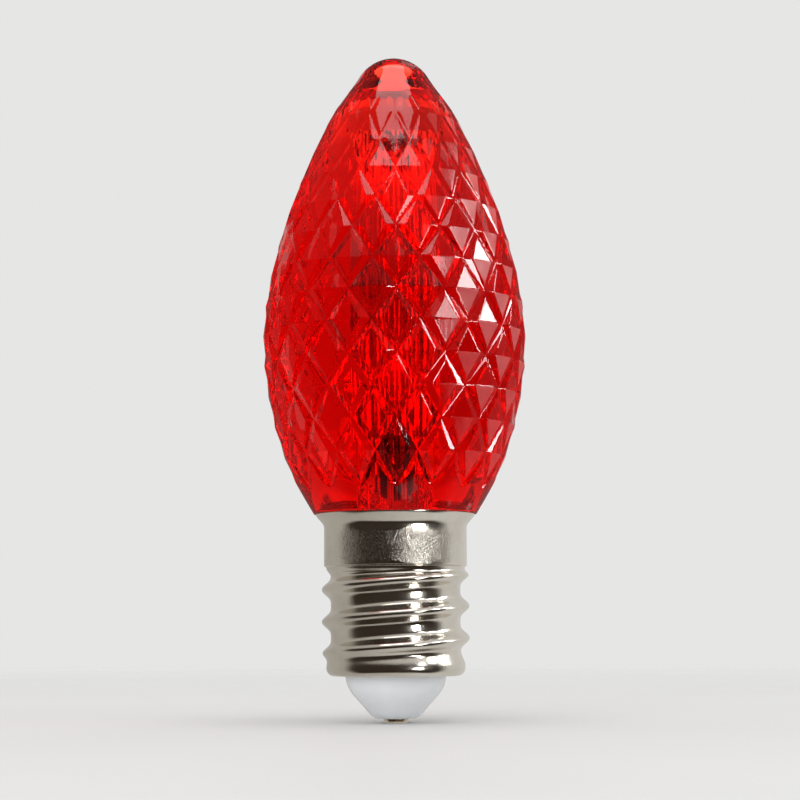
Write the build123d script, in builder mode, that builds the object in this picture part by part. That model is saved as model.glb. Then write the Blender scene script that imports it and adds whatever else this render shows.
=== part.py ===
"""Screw-base LED replacement bulb with a faceted red lens. Millimetres, +Z up.

The origin is the centre of the flat on the centre contact, and the lamp axis is Z.
The front of the lamp faces -Y.
"""
from build123d import *
import math
import os

os.makedirs("parts", exist_ok=True)

# Lens outline, from the shell rim to the tip
rim_top_z = 16.5
lens_length = 37.2
lens_radius = 10.63
widest_rise = 13.9
lens_foot_radius = 6.5
dome_radius = 3.3
dome_depth = 1.6
# Each point of the flank is a share of the greatest radius and of the height to its end
upper_flank_shape = ((0.456, 0.865), (0.622, 0.705), (0.777, 0.521), (0.919, 0.293))
lower_flank_shape = ((0.943, 0.386), (0.842, 0.664), (0.710, 0.872))

# Diamond facets in staggered rows, half a row between one ridge level and the next
facet_columns = 17
half_row = 2.465
lowest_ridge_rise = 4.47
ridge_share = 0.56
valley_depth_belly = 0.30
valley_depth_tip = 0.02
facet_inset = 0.03
facet_relief = 1.0
pattern_end_radius = 0.3
pattern_turn = 1.1
outline_search_steps = 30

# Fluted bore of the lens, and the pocket below it for the lamp board
bore_radius = 2.1
bore_top_drop = 7.4
flute_count = 16
flute_radius = 0.22
flute_turn = 4.0
flute_end_rise = 6.6
pocket_wall = 0.93
pocket_rise = 0.3
spigot_length = 2.6
spigot_chamfer = 0.25
cement_thickness = 0.28

# Screw shell, formed from sheet, with a right-hand rolled thread
thread_radius = 5.87
thread_depth = 0.72
thread_pitch = 2.54
thread_runout = 1.6
crest_on_left_z = 7.93
path_points_per_turn = 16
shell_wall = 0.28
shell_bottom_z = 3.68
lip_bend_radius = 0.6
lip_hole_radius = 4.1
collar_radius = 5.69
collar_bottom_z = 12.4
collar_step = 0.2
rim_radius = 6.38
rim_flare_height = 1.1
rim_edge_lean = 0.3

# Insulator and centre contact
insulator_gap = 0.06
insulator_flange = 1.3
insulator_neck_gap = 0.1
insulator_points = ((3.87, 3.05), (3.28, 2.1), (2.45, 1.16))
insulator_face_radius = 1.45
insulator_end_lean = 0.1
wire_hole_radius = 0.62
contact_radius = 1.0
contact_flat_radius = 0.8
contact_thickness = 0.34
contact_shank_radius = 0.5
contact_shank_length = 1.7
contact_bore_radius = 0.26
contact_solder_height = 0.9

# Lamp board, diode holder and light-emitting diode
board_thickness = 0.8
lamp_board_gap = 0.15
lamp_board_drop = 0.2
holder_radius = 1.72
diode_turn = 12.5
diode_base_z = 23.2
diode_lead_gap = 0.85
lead_side = 0.5
lead_pitch = 2.54
lead_clearance = 0.06
lead_tail = 0.9
lead_solder_radius = 0.55
lead_solder_height = 0.45
solder_taper = 25
flange_radius = 1.9
flange_height = 1.0
diode_radius = 1.5
diode_height = 5.2
anvil_rise = 2.6
anvil_width = 1.1
post_rise = 2.3
post_width = 0.6
chip_side = 0.36
chip_height = 0.16

# Driver board and the components on it
driver_side_gap = 0.25
notch_width = 1.2
notch_height = 1.5
rectifier_side_room = 2.0
rectifier_depth = 1.3
rectifier_length = 4.4
rectifier_bottom_rise = 4.6
rectifier_lift = 0.15
rectifier_lead_width = 0.6
rectifier_lead_reach = 0.5
rectifier_lead_thickness = 0.25
rectifier_lead_spacing = 2.5
capacitor_radius = 1.95
capacitor_height = 5.0
capacitor_bottom_rise = 1.0
capacitor_groove = 0.15
capacitor_groove_drop = 0.6
capacitor_lead_radius = 0.2
capacitor_lead_length = 1.1
capacitor_lead_pitch = 1.5
resistor_width = 1.5
resistor_depth = 0.55
resistor_length = 3.0
resistor_cap = 0.45
resistor_cap_step = 0.03
resistor_spacing = 2.6
resistor_bottom_rise = 1.0
wire_radius = 0.2
sleeve_wall = 0.17
sleeve_bottom_rise = 0.3
sleeve_top_gap = 0.5
wire_solder_radius = 0.5
board_solder_height = 0.4
shell_wire_drop = 0.6
shell_wire_start = 0.8

# Levels and radii that follow from the sizes above
lens_tip_z = rim_top_z + lens_length
widest_z = rim_top_z + widest_rise
dome_centre_z = lens_tip_z - dome_radius
dome_join_z = lens_tip_z - dome_depth
dome_join_radius = math.sqrt(dome_radius**2 - (dome_radius - dome_depth) ** 2)
bore_top_z = lens_tip_z - bore_top_drop
pocket_top_z = rim_top_z + pocket_rise
spigot_bottom_z = rim_top_z - spigot_length
top_level = math.ceil((lens_length - lowest_ridge_rise) / half_row)
cement_radius = collar_radius - shell_wall
spigot_radius = cement_radius - cement_thickness
pocket_radius = spigot_radius - pocket_wall
mean_radius = thread_radius - thread_depth / 2
thread_bottom_z = shell_bottom_z + lip_bend_radius
thread_top_z = collar_bottom_z - collar_step
insulator_seat_z = shell_bottom_z + shell_wall
insulator_top_z = insulator_seat_z + insulator_flange
insulator_flange_radius = mean_radius - thread_depth / 2 - shell_wall - insulator_gap
insulator_neck_radius = lip_hole_radius - insulator_neck_gap
contact_shank_top_z = contact_thickness + contact_shank_length
lamp_board_top_z = pocket_top_z - lamp_board_drop
lamp_board_bottom_z = lamp_board_top_z - board_thickness
holder_top_z = diode_base_z - diode_lead_gap
lead_angle = -90 - diode_turn
driver_face = board_thickness / 2
driver_width = 2 * (pocket_radius - driver_side_gap)
rectifier_width = driver_width - 2 * rectifier_side_room


# Faceted lens, one moulding of red plastic with a fluted bore
flank_points = [(dome_join_radius, dome_join_z)]
for radius_share, height_share in upper_flank_shape:
    flank_height = widest_z + (dome_join_z - widest_z) * height_share
    flank_points.append((lens_radius * radius_share, flank_height))
flank_points.append((lens_radius, widest_z))
for radius_share, height_share in lower_flank_shape:
    flank_points.append((lens_radius * radius_share, widest_z - widest_rise * height_share))
flank_points.append((lens_foot_radius, rim_top_z))
dome_tangent = (dome_radius - dome_depth, -dome_join_radius)
foot_tangent = (lens_foot_radius - flank_points[-2][0], rim_top_z - flank_points[-2][1])


def flank_line():
    """Side of the lens from the round tip down to the rim, in the sketch plane."""
    return Spline(*flank_points, tangents=(dome_tangent, foot_tangent))


with BuildLine() as flank:
    flank_line()


def outline_radius(height):
    """Radius of the smooth outline at a height, closed in on along the flank."""
    upper, lower = 0.0, 1.0
    for _ in range(outline_search_steps):
        middle = (upper + lower) / 2
        if (flank.line @ middle).Y > height:
            upper = middle
        else:
            lower = middle
    return (flank.line @ upper).X


def front_point(radius, column, height):
    """Point of the facet pattern, with columns counted from the front towards +X."""
    angle = math.radians(pattern_turn + column * 360 / facet_columns)
    return (radius * math.sin(angle), -radius * math.cos(angle), height)


def level_height(level):
    """Height of a level of ridges, counted up from the lowest one."""
    return rim_top_z + lowest_ridge_rise + level * half_row


def level_radius(level):
    """Radius of the ridges on a level. The end levels stand clear of the smooth outline."""
    height = level_height(level)
    if level < 0:
        return outline_radius(height) + facet_relief
    if height > dome_join_z:
        tip_slope = (outline_radius(dome_join_z - half_row) - dome_join_radius) / half_row
        return max(dome_join_radius - (height - dome_join_z) * tip_slope, pattern_end_radius)
    return outline_radius(height) - facet_inset


def valley_depth(radius):
    """Depth of the crossings below the ridges, far less where the lens narrows."""
    depth = valley_depth_tip + (valley_depth_belly - valley_depth_tip) * (radius / lens_radius) ** 4
    return min(depth, radius / 2)


def level_ring(level):
    """Crossing, ridge start and ridge end of each column on one level, in order round it."""
    height = level_height(level)
    radius = level_radius(level)
    low_radius = radius - valley_depth(radius)
    if level < 0:
        low_radius = outline_radius(height) - facet_inset - valley_depth(radius)
    offset = 0.5 * (level % 2)
    ring = []
    for column in range(facet_columns):
        ring.append(front_point(low_radius, column - 0.5 + offset, height))
        ring.append(front_point(radius, column - ridge_share / 2 + offset, height))
        ring.append(front_point(radius, column + ridge_share / 2 + offset, height))
    return ring


def triangle(*corners):
    """Flat face on three corners."""
    return Face(Wire.make_polygon(corners))


def facet_band(level):
    """Facets between a level of ridges and the next level up."""
    lower = level_ring(level)
    upper = level_ring(level + 1)
    step = level % 2
    count = len(lower)
    faces = []
    for column in range(facet_columns):
        start = 3 * column
        top = upper[(start + 3 * step) % count]
        for side in range(3):
            faces.append(triangle(lower[start + side], lower[(start + side + 1) % count], top))
        bottom = lower[(start + 3 * (1 - step)) % count]
        for side in range(3):
            faces.append(triangle(upper[(start + side + 1) % count], upper[start + side], bottom))
    return faces


def facet_body():
    """Closed solid with the diamond facets, wider than the lens at its foot and tip."""
    faces = []
    for level in range(-1, top_level):
        faces += facet_band(level)
    foot_ring = level_ring(-1)
    foot_radius = level_radius(-1)
    foot_z = spigot_bottom_z - facet_relief
    base = []
    for column in range(facet_columns):
        for place in (-0.5, -ridge_share / 2, ridge_share / 2):
            base.append(front_point(foot_radius, column + place + 0.5, foot_z))
    for i, corner in enumerate(base):
        following = (i + 1) % len(base)
        faces.append(triangle(corner, base[following], foot_ring[following]))
        faces.append(triangle(corner, foot_ring[following], foot_ring[i]))
    faces.append(Face(Wire.make_polygon(base)))
    faces.append(Face(Wire.make_polygon(level_ring(top_level))))
    return Solid(Shell(faces))


facets = facet_body()
with BuildPart() as faceted_lens:
    with BuildSketch(Plane.XZ):
        with BuildLine():
            dome_middle = math.atan2(dome_join_radius, dome_radius - dome_depth) / 2
            dome_middle_z = dome_centre_z + dome_radius * math.cos(dome_middle)
            ThreePointArc(
                (0, lens_tip_z),
                (dome_radius * math.sin(dome_middle), dome_middle_z),
                (dome_join_radius, dome_join_z),
            )
            flank_line()
            Polyline(
                (lens_foot_radius, rim_top_z),
                (spigot_radius, rim_top_z),
                (spigot_radius, spigot_bottom_z + spigot_chamfer),
                (spigot_radius - spigot_chamfer, spigot_bottom_z),
                (0, spigot_bottom_z),
                (0, lens_tip_z),
            )
        make_face()
    revolve(axis=Axis.Z)
    add(facets, mode=Mode.INTERSECT)
    with BuildSketch(Plane.XY.offset(spigot_bottom_z)):
        Circle(bore_radius)
    extrude(amount=bore_top_z - spigot_bottom_z, mode=Mode.SUBTRACT)
    with BuildSketch(Plane.XY.offset(rim_top_z + flute_end_rise)):
        with PolarLocations(bore_radius, flute_count, start_angle=flute_turn):
            Circle(flute_radius)
    extrude(amount=bore_top_z - rim_top_z - flute_end_rise, mode=Mode.SUBTRACT)
    with BuildSketch(Plane.XY.offset(spigot_bottom_z)):
        Circle(pocket_radius)
    extrude(amount=pocket_top_z - spigot_bottom_z, mode=Mode.SUBTRACT)
faceted_lens.part.label = "faceted_lens"
export_step(faceted_lens.part, "parts/faceted_lens.step")


# Cement, a ring of adhesive between the lens spigot and the collar of the shell
with BuildPart() as lens_cement:
    with BuildSketch(Plane.XY.offset(spigot_bottom_z + spigot_chamfer)):
        Circle(cement_radius)
        Circle(spigot_radius, mode=Mode.SUBTRACT)
    extrude(amount=rim_top_z - rim_flare_height - spigot_bottom_z - spigot_chamfer)
lens_cement.part.label = "lens_cement"
export_step(lens_cement.part, "parts/lens_cement.step")


# Screw shell, a nickel-plated brass cup with a rolled thread, a collar and a flared rim
def thread_path():
    """Curve that carries the centre of the round section, so that one crest winds round it."""
    length = thread_top_z - thread_bottom_z
    steps = round(length / thread_pitch * path_points_per_turn)
    points = []
    for i in range(steps + 1):
        height = thread_bottom_z + length * i / steps
        room = min(height - thread_bottom_z, thread_top_z - height) / thread_runout
        swell = math.sin(min(room, 1) * math.pi / 2) ** 2
        angle = math.pi + 2 * math.pi * (height - crest_on_left_z) / thread_pitch
        offset = swell * thread_depth / 2
        points.append((offset * math.cos(angle), offset * math.sin(angle), height))
    return Spline(*points)


with BuildPart() as screw_shell:
    with BuildLine() as shell_path:
        thread_path()
    with BuildSketch(Plane.XY.offset(thread_bottom_z)):
        Circle(mean_radius)
    sweep(path=shell_path.line, normal=(0, 0, 1))
    for inset, mode in ((0, Mode.ADD), (shell_wall, Mode.SUBTRACT)):
        if inset:
            with BuildSketch(Plane.XY.offset(thread_bottom_z)):
                Circle(mean_radius - inset)
            sweep(path=shell_path.line, normal=(0, 0, 1), mode=mode)
        bend = lip_bend_radius - inset
        floor_z = shell_bottom_z + inset
        with BuildSketch(Plane.XZ):
            with BuildLine():
                Polyline(
                    (0, thread_top_z),
                    (mean_radius - inset, thread_top_z),
                    (collar_radius - inset, collar_bottom_z),
                    (collar_radius - inset, rim_top_z - rim_flare_height),
                )
                Spline(
                    (collar_radius - inset, rim_top_z - rim_flare_height),
                    (rim_radius - inset, rim_top_z),
                    tangents=((0, 1), (rim_edge_lean, 1)),
                )
                Polyline((rim_radius - inset, rim_top_z), (0, rim_top_z), (0, thread_top_z))
            make_face()
        revolve(axis=Axis.Z, mode=mode)
        with BuildSketch(Plane.XZ):
            with BuildLine():
                Polyline(
                    (0, thread_bottom_z),
                    (0, floor_z),
                    (mean_radius - inset - bend, floor_z),
                )
                RadiusArc(
                    (mean_radius - inset - bend, floor_z),
                    (mean_radius - inset, thread_bottom_z),
                    -bend,
                )
                Line((mean_radius - inset, thread_bottom_z), (0, thread_bottom_z))
            make_face()
        revolve(axis=Axis.Z, mode=mode)
    with BuildSketch(Plane.XY.offset(shell_bottom_z)):
        Circle(lip_hole_radius)
    extrude(amount=shell_wall, mode=Mode.SUBTRACT)
screw_shell.part.label = "screw_shell"
export_step(screw_shell.part, "parts/screw_shell.step")


# Insulator, a moulded plastic plug seated on the lip of the shell
with BuildPart() as insulator:
    with BuildSketch(Plane.XZ):
        with BuildLine():
            Polyline(
                (insulator_neck_radius, shell_bottom_z),
                (insulator_neck_radius, insulator_seat_z),
                (insulator_flange_radius, insulator_seat_z),
                (insulator_flange_radius, insulator_top_z),
                (wire_hole_radius, insulator_top_z),
                (wire_hole_radius, contact_shank_top_z),
                (contact_shank_radius, contact_shank_top_z),
                (contact_shank_radius, contact_thickness),
                (insulator_face_radius, contact_thickness),
            )
            Spline(
                (insulator_face_radius, contact_thickness),
                *insulator_points[::-1],
                (insulator_neck_radius, shell_bottom_z),
                tangents=((1, insulator_end_lean), (insulator_end_lean, 1)),
            )
        make_face()
    revolve(axis=Axis.Z)
insulator.part.label = "insulator"
export_step(insulator.part, "parts/insulator.step")


# Centre contact, a plated eyelet, with the solder that closes it
with BuildPart() as centre_contact:
    with BuildSketch(Plane.XZ):
        with BuildLine():
            Polyline(
                (contact_bore_radius, 0),
                (contact_flat_radius, 0),
            )
            Spline(
                (contact_flat_radius, 0),
                (contact_radius, contact_thickness),
                tangents=((1, 0), (0, 1)),
            )
            Polyline(
                (contact_radius, contact_thickness),
                (contact_shank_radius, contact_thickness),
                (contact_shank_radius, contact_shank_top_z),
                (contact_bore_radius, contact_shank_top_z),
                (contact_bore_radius, 0),
            )
        make_face()
    revolve(axis=Axis.Z)
centre_contact.part.label = "centre_contact"
export_step(centre_contact.part, "parts/centre_contact.step")

with BuildPart() as contact_solder:
    with BuildSketch(Plane.XY):
        Circle(contact_bore_radius)
    extrude(amount=contact_solder_height)
contact_solder.part.label = "contact_solder"
export_step(contact_solder.part, "parts/contact_solder.step")


# Contact wire, from the eyelet up to the notch of the driver board, with its sleeve
wire_top_z = insulator_top_z + notch_height
with BuildPart() as contact_wire:
    with BuildSketch(Plane.XY.offset(contact_solder_height)):
        Circle(wire_radius)
    extrude(amount=wire_top_z - contact_solder_height)
contact_wire.part.label = "contact_wire"
export_step(contact_wire.part, "parts/contact_wire.step")

with BuildPart() as contact_sleeve:
    with BuildSketch(Plane.XY.offset(contact_shank_top_z + sleeve_bottom_rise)):
        Circle(wire_radius + sleeve_wall)
        Circle(wire_radius, mode=Mode.SUBTRACT)
    extrude(amount=wire_top_z - sleeve_top_gap - contact_shank_top_z - sleeve_bottom_rise)
contact_sleeve.part.label = "contact_sleeve"
export_step(contact_sleeve.part, "parts/contact_sleeve.step")


# Driver board, standing on the insulator, notched at its foot for the contact wire
with BuildPart() as driver_board:
    with BuildSketch(Plane.XY.offset(insulator_top_z)):
        Rectangle(driver_width, board_thickness)
    extrude(amount=lamp_board_bottom_z - insulator_top_z)
    with BuildSketch(Plane.XY.offset(insulator_top_z)):
        Rectangle(notch_width, board_thickness)
    extrude(amount=notch_height, mode=Mode.SUBTRACT)
driver_board.part.label = "driver_board"
export_step(driver_board.part, "parts/driver_board.step")


# Lamp board, a round board on the top edge of the driver board
with BuildPart() as lamp_board:
    with BuildSketch(Plane.XY.offset(lamp_board_bottom_z)):
        Circle(pocket_radius - lamp_board_gap)
        with PolarLocations(lead_pitch / 2, 2, start_angle=lead_angle):
            Rectangle(lead_side, lead_side, mode=Mode.SUBTRACT)
    extrude(amount=board_thickness)
lamp_board.part.label = "lamp_board"
export_step(lamp_board.part, "parts/lamp_board.step")


# Diode holder, a dark plastic spacer that stands on the lamp board inside the bore
with BuildPart() as diode_holder:
    with BuildSketch(Plane.XY.offset(lamp_board_top_z)):
        Circle(holder_radius)
        with PolarLocations(lead_pitch / 2, 2, start_angle=lead_angle):
            hole_side = lead_side + 2 * lead_clearance
            Rectangle(hole_side, hole_side, mode=Mode.SUBTRACT)
    extrude(amount=holder_top_z - lamp_board_top_z)
diode_holder.part.label = "diode_holder"
export_step(diode_holder.part, "parts/diode_holder.step")


# Light-emitting diode: two stamped leads, the chip on the anvil, and the clear body
lead_foot_z = lamp_board_bottom_z - lead_tail


def diode_lead(side, head_width, head_rise):
    """One lead with its wider head inside the diode body. Side is 0 in front, 1 behind."""
    turn = side * 180 + lead_angle
    with BuildPart() as lead:
        with BuildSketch(Plane.XY.offset(lead_foot_z)):
            with PolarLocations(lead_pitch / 2, 1, start_angle=turn):
                Rectangle(lead_side, lead_side)
        extrude(amount=diode_base_z - lead_foot_z)
        with BuildSketch(Plane.XY.offset(diode_base_z)):
            inner_edge = lead_pitch / 2 + lead_side / 2 - head_width
            with PolarLocations(inner_edge + head_width / 2, 1, start_angle=turn):
                Rectangle(head_width, lead_side)
        extrude(amount=head_rise)
    return lead


anvil_lead = diode_lead(0, anvil_width, anvil_rise)
anvil_lead.part.label = "anvil_lead"
export_step(anvil_lead.part, "parts/anvil_lead.step")

post_lead = diode_lead(1, post_width, post_rise)
post_lead.part.label = "post_lead"
export_step(post_lead.part, "parts/post_lead.step")

with BuildPart() as diode_chip:
    with BuildSketch(Plane.XY.offset(diode_base_z + anvil_rise)):
        chip_reach = lead_pitch / 2 + lead_side / 2 - anvil_width / 2
        with PolarLocations(chip_reach, 1, start_angle=lead_angle):
            Rectangle(chip_side, chip_side)
    extrude(amount=chip_height)
diode_chip.part.label = "diode_chip"
export_step(diode_chip.part, "parts/diode_chip.step")

with BuildPart() as diode_body:
    with BuildSketch(Plane.XZ):
        with BuildLine():
            Polyline(
                (0, diode_base_z),
                (flange_radius, diode_base_z),
                (flange_radius, diode_base_z + flange_height),
                (diode_radius, diode_base_z + flange_height),
                (diode_radius, diode_base_z + diode_height - diode_radius),
            )
            RadiusArc(
                (diode_radius, diode_base_z + diode_height - diode_radius),
                (0, diode_base_z + diode_height),
                -diode_radius,
            )
            Line((0, diode_base_z + diode_height), (0, diode_base_z))
        make_face()
    revolve(axis=Axis.Z)
    add(anvil_lead.part, mode=Mode.SUBTRACT)
    add(post_lead.part, mode=Mode.SUBTRACT)
    add(diode_chip.part, mode=Mode.SUBTRACT)
diode_body.part.label = "diode_body"
export_step(diode_body.part, "parts/diode_body.step")

for side, lead in enumerate((anvil_lead, post_lead)):
    with BuildPart() as lead_solder:
        with BuildSketch(Plane.XY.offset(lamp_board_bottom_z)):
            with PolarLocations(lead_pitch / 2, 1, start_angle=side * 180 + lead_angle):
                Circle(lead_solder_radius)
        extrude(amount=-lead_solder_height, taper=solder_taper)
        add(lead.part, mode=Mode.SUBTRACT)
    lead_solder.part.label = f"lead_solder_{side + 1}"
    export_step(lead_solder.part, f"parts/lead_solder_{side + 1}.step")


# Bridge rectifier, a moulded block with four legs on the front of the driver board
rectifier_plane = Plane.XZ.offset(driver_face + rectifier_lift)
rectifier_middle_z = insulator_top_z + rectifier_bottom_rise + rectifier_length / 2
with BuildPart() as bridge_rectifier:
    with BuildSketch(rectifier_plane):
        with Locations((0, rectifier_middle_z)):
            Rectangle(rectifier_width, rectifier_length)
    extrude(amount=rectifier_depth)
    chamfer(bridge_rectifier.faces().sort_by(Axis.Y)[0].edges(), rectifier_lift)
    with BuildSketch(Plane.XZ.offset(driver_face)):
        with Locations((0, rectifier_middle_z)):
            with GridLocations(0, rectifier_lead_spacing, 1, 2):
                Rectangle(rectifier_width + 2 * rectifier_lead_reach, rectifier_lead_width)
    extrude(amount=rectifier_lift + rectifier_lead_thickness)
bridge_rectifier.part.label = "bridge_rectifier"
export_step(bridge_rectifier.part, "parts/bridge_rectifier.step")


# Smoothing capacitor, an aluminium can lying upright against the back of the driver board
capacitor_y = driver_face + capacitor_radius
capacitor_z = insulator_top_z + capacitor_bottom_rise
with BuildPart() as smoothing_capacitor:
    with BuildSketch(Plane.XY.offset(capacitor_z)):
        with Locations((0, capacitor_y)):
            Circle(capacitor_radius)
    extrude(amount=capacitor_height)
    groove_z = capacitor_z + capacitor_height - capacitor_groove_drop
    with BuildSketch(Plane.XY.offset(groove_z)):
        with Locations((0, capacitor_y)):
            Circle(capacitor_radius)
            Circle(capacitor_radius - capacitor_groove, mode=Mode.SUBTRACT)
    extrude(amount=capacitor_groove, mode=Mode.SUBTRACT)
smoothing_capacitor.part.label = "smoothing_capacitor"
export_step(smoothing_capacitor.part, "parts/smoothing_capacitor.step")

with BuildPart() as capacitor_leads:
    lead_level = capacitor_z + capacitor_height
    lead_y = driver_face + capacitor_lead_radius
    for side in (-1, 1):
        with BuildSketch(Plane.XY.offset(lead_level)):
            with Locations((side * capacitor_lead_pitch / 2, lead_y)):
                Circle(capacitor_lead_radius)
        extrude(amount=capacitor_lead_length)
capacitor_leads.part.label = "capacitor_leads"
export_step(capacitor_leads.part, "parts/capacitor_leads.step")


# Dropping resistors, two ceramic blocks with metal ends on the front of the driver board
resistor_middle_z = insulator_top_z + resistor_bottom_rise + resistor_length / 2
for number, side in enumerate((-1, 1), start=1):
    with BuildPart() as resistor:
        with BuildSketch(Plane.XZ.offset(driver_face)):
            with Locations((side * resistor_spacing / 2, resistor_middle_z)):
                Rectangle(resistor_width, resistor_length)
        extrude(amount=resistor_depth)
        with BuildSketch(Plane.XZ.offset(driver_face)):
            with Locations((side * resistor_spacing / 2, resistor_middle_z)):
                with GridLocations(0, resistor_length - resistor_cap, 1, 2):
                    Rectangle(resistor_width + 2 * resistor_cap_step, resistor_cap)
        extrude(amount=resistor_depth + resistor_cap_step)
    resistor.part.label = f"dropping_resistor_{number}"
    export_step(resistor.part, f"parts/dropping_resistor_{number}.step")


# Shell wire, straight from the driver board to the collar, soldered at both ends
shell_wire_y = -driver_face - wire_radius
shell_wire_z = spigot_bottom_z - shell_wire_drop
wire_start_x = driver_width / 2 - shell_wire_start
wire_end_x = cement_radius - wire_radius
with BuildPart() as shell_wire:
    with BuildSketch(Plane.YZ.offset(wire_start_x)):
        with Locations((shell_wire_y, shell_wire_z)):
            Circle(wire_radius)
    extrude(amount=wire_end_x - wire_start_x)
shell_wire.part.label = "shell_wire"
export_step(shell_wire.part, "parts/shell_wire.step")

with BuildPart() as shell_solder:
    with BuildSketch(Plane.XY.offset(shell_wire_z)):
        Circle(cement_radius)
    extrude(amount=wire_solder_radius, both=True)
    with Locations((cement_radius, shell_wire_y, shell_wire_z)):
        Sphere(wire_solder_radius, mode=Mode.INTERSECT)
    add(shell_wire.part, mode=Mode.SUBTRACT)
shell_solder.part.label = "shell_solder"
export_step(shell_solder.part, "parts/shell_solder.step")

with BuildPart() as board_solder:
    with BuildSketch(Plane.XZ.offset(driver_face)):
        with Locations((wire_start_x, shell_wire_z)):
            Circle(wire_solder_radius)
    extrude(amount=board_solder_height, taper=solder_taper)
    add(shell_wire.part, mode=Mode.SUBTRACT)
board_solder.part.label = "board_solder"
export_step(board_solder.part, "parts/board_solder.step")
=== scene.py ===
import math

import bmesh
import bpy
import numpy as np
from mathutils import Euler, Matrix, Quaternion, Vector


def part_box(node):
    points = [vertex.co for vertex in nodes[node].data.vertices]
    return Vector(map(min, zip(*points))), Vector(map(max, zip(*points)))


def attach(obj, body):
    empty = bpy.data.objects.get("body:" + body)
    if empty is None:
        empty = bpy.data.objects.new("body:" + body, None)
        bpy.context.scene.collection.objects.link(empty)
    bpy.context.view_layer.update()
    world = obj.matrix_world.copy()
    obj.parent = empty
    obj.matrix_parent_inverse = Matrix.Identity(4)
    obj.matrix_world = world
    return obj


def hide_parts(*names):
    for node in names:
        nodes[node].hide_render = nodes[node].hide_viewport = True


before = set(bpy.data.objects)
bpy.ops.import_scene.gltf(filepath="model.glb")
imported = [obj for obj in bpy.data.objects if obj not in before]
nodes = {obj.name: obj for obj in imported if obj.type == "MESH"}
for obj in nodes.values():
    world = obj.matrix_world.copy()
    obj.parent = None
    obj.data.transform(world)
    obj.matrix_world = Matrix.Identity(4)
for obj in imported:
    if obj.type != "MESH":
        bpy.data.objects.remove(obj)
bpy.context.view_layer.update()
mm = 0.001


# Screw shell: a cup drawn from thin brass sheet and nickel plated. The thread is rolled into
# its wall, the rim is flared to carry the lens, and the lip at its foot holds the insulator.
shell_low, shell_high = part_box("screw_shell")
shell_wall = 0.28 * mm
thread_radius = 5.87 * mm
thread_depth = 0.72 * mm
thread_pitch = 2.54 * mm
thread_foot_runout = 1.6 * mm
thread_head_runout = 0.7 * mm
crest_sharpness = 0.25
crest_on_left_z = 7.93 * mm
lip_bend_radius = 0.6 * mm
lip_hole_radius = 4.1 * mm
collar_radius = 5.69 * mm
collar_bottom_z = 12.4 * mm
collar_step = 0.2 * mm
rim_radius = 6.38 * mm
rim_flare_height = 1.1 * mm
rim_lean = (0.3, 1)
rim_top_z = shell_high.z
mean_radius = thread_radius - thread_depth / 2
thread_bottom_z = shell_low.z + lip_bend_radius
thread_top_z = collar_bottom_z - collar_step
weld_distance = 0.0005 * mm
shell_steps = 288
thread_rows = 128
bend_rows = 8
flare_rows = 12

patch_edge = (0.35, 0.65)
cloud_span = (0.3, 0.7)
nickel_patch_edge = (0.35, 0.7)
nickel_light = (0.75, 0.71, 0.64)
nickel_dark = (0.68, 0.64, 0.57)
# Painted shade: the dark colour put into the pits of the sand on the collar's front.
nickel_pit_shade = (0.30, 0.27, 0.23)
nickel_roughness = (0.12, 0.22)
sand_scale = 9000.0
sand_roughness = 0.04
sand_foot_fade = (collar_bottom_z - 0.4 * mm, collar_bottom_z + 0.4 * mm)
sand_head_fade = (rim_top_z - 1.9 * mm, rim_top_z - 0.9 * mm)
sand_front_fade = (-4.8 * mm, -3.0 * mm)
sand_depth = 0.045 * mm
orange_peel_share = 0.09


def wired(tree, kind, inputs=None, **settings):
    """Adds a node, sets its properties, and feeds its inputs with values or other outputs."""
    node = tree.nodes.new(kind)
    for name, value in settings.items():
        setattr(node, name, value)
    for place, value in (inputs or {}).items():
        if isinstance(value, bpy.types.NodeSocket):
            tree.links.new(value, node.inputs[place])
        else:
            node.inputs[place].default_value = value
    return node


def calc(tree, operation, *values):
    """One Math node, as its output."""
    return wired(tree, "ShaderNodeMath", dict(enumerate(values)), operation=operation).outputs[0]


def start_tree(name, inputs):
    """Empty Geometry Nodes tree with its named inputs, and the node that gives their values."""
    tree = bpy.data.node_groups.new(name, "GeometryNodeTree")
    tree.interface.new_socket("Geometry", in_out="OUTPUT", socket_type="NodeSocketGeometry")
    for label, kind in inputs:
        tree.interface.new_socket(label, in_out="INPUT", socket_type="NodeSocket" + kind)
    return tree, tree.nodes.new("NodeGroupInput").outputs


def end_tree(tree, mesh, finish, smooth):
    """Closes the seams of the mesh, shades it, gives it its material and puts it out."""
    merged = wired(tree, "GeometryNodeMergeByDistance", {0: mesh, "Distance": weld_distance})
    shaded = wired(tree, "GeometryNodeSetShadeSmooth", {0: merged.outputs[0], "Shade Smooth": smooth})
    real = wired(tree, "GeometryNodeRealizeInstances", {0: shaded.outputs[0]})
    done = wired(tree, "GeometryNodeSetMaterial", {0: real.outputs[0], "Material": finish})
    tree.links.new(done.outputs[0], tree.nodes.new("NodeGroupOutput").inputs[0])


def as_object(name, mesh):
    """New object at the origin with that mesh."""
    made = bpy.data.objects.new(name, mesh)
    bpy.context.scene.collection.objects.link(made)
    return made


def guide_points(name, points):
    """Object whose vertices hand a list of points to a Geometry Nodes tree."""
    mesh = bpy.data.meshes.new(name)
    mesh.from_pydata(points, [], [])
    return as_object(name, mesh)


def plain_mesh(piece):
    """Replaces the piece's mesh by its evaluated one, and takes its modifiers off."""
    evaluated = piece.evaluated_get(bpy.context.evaluated_depsgraph_get())
    mesh = bpy.data.meshes.new_from_object(evaluated)
    piece.modifiers.clear()
    piece.data = mesh
    return piece


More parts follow.
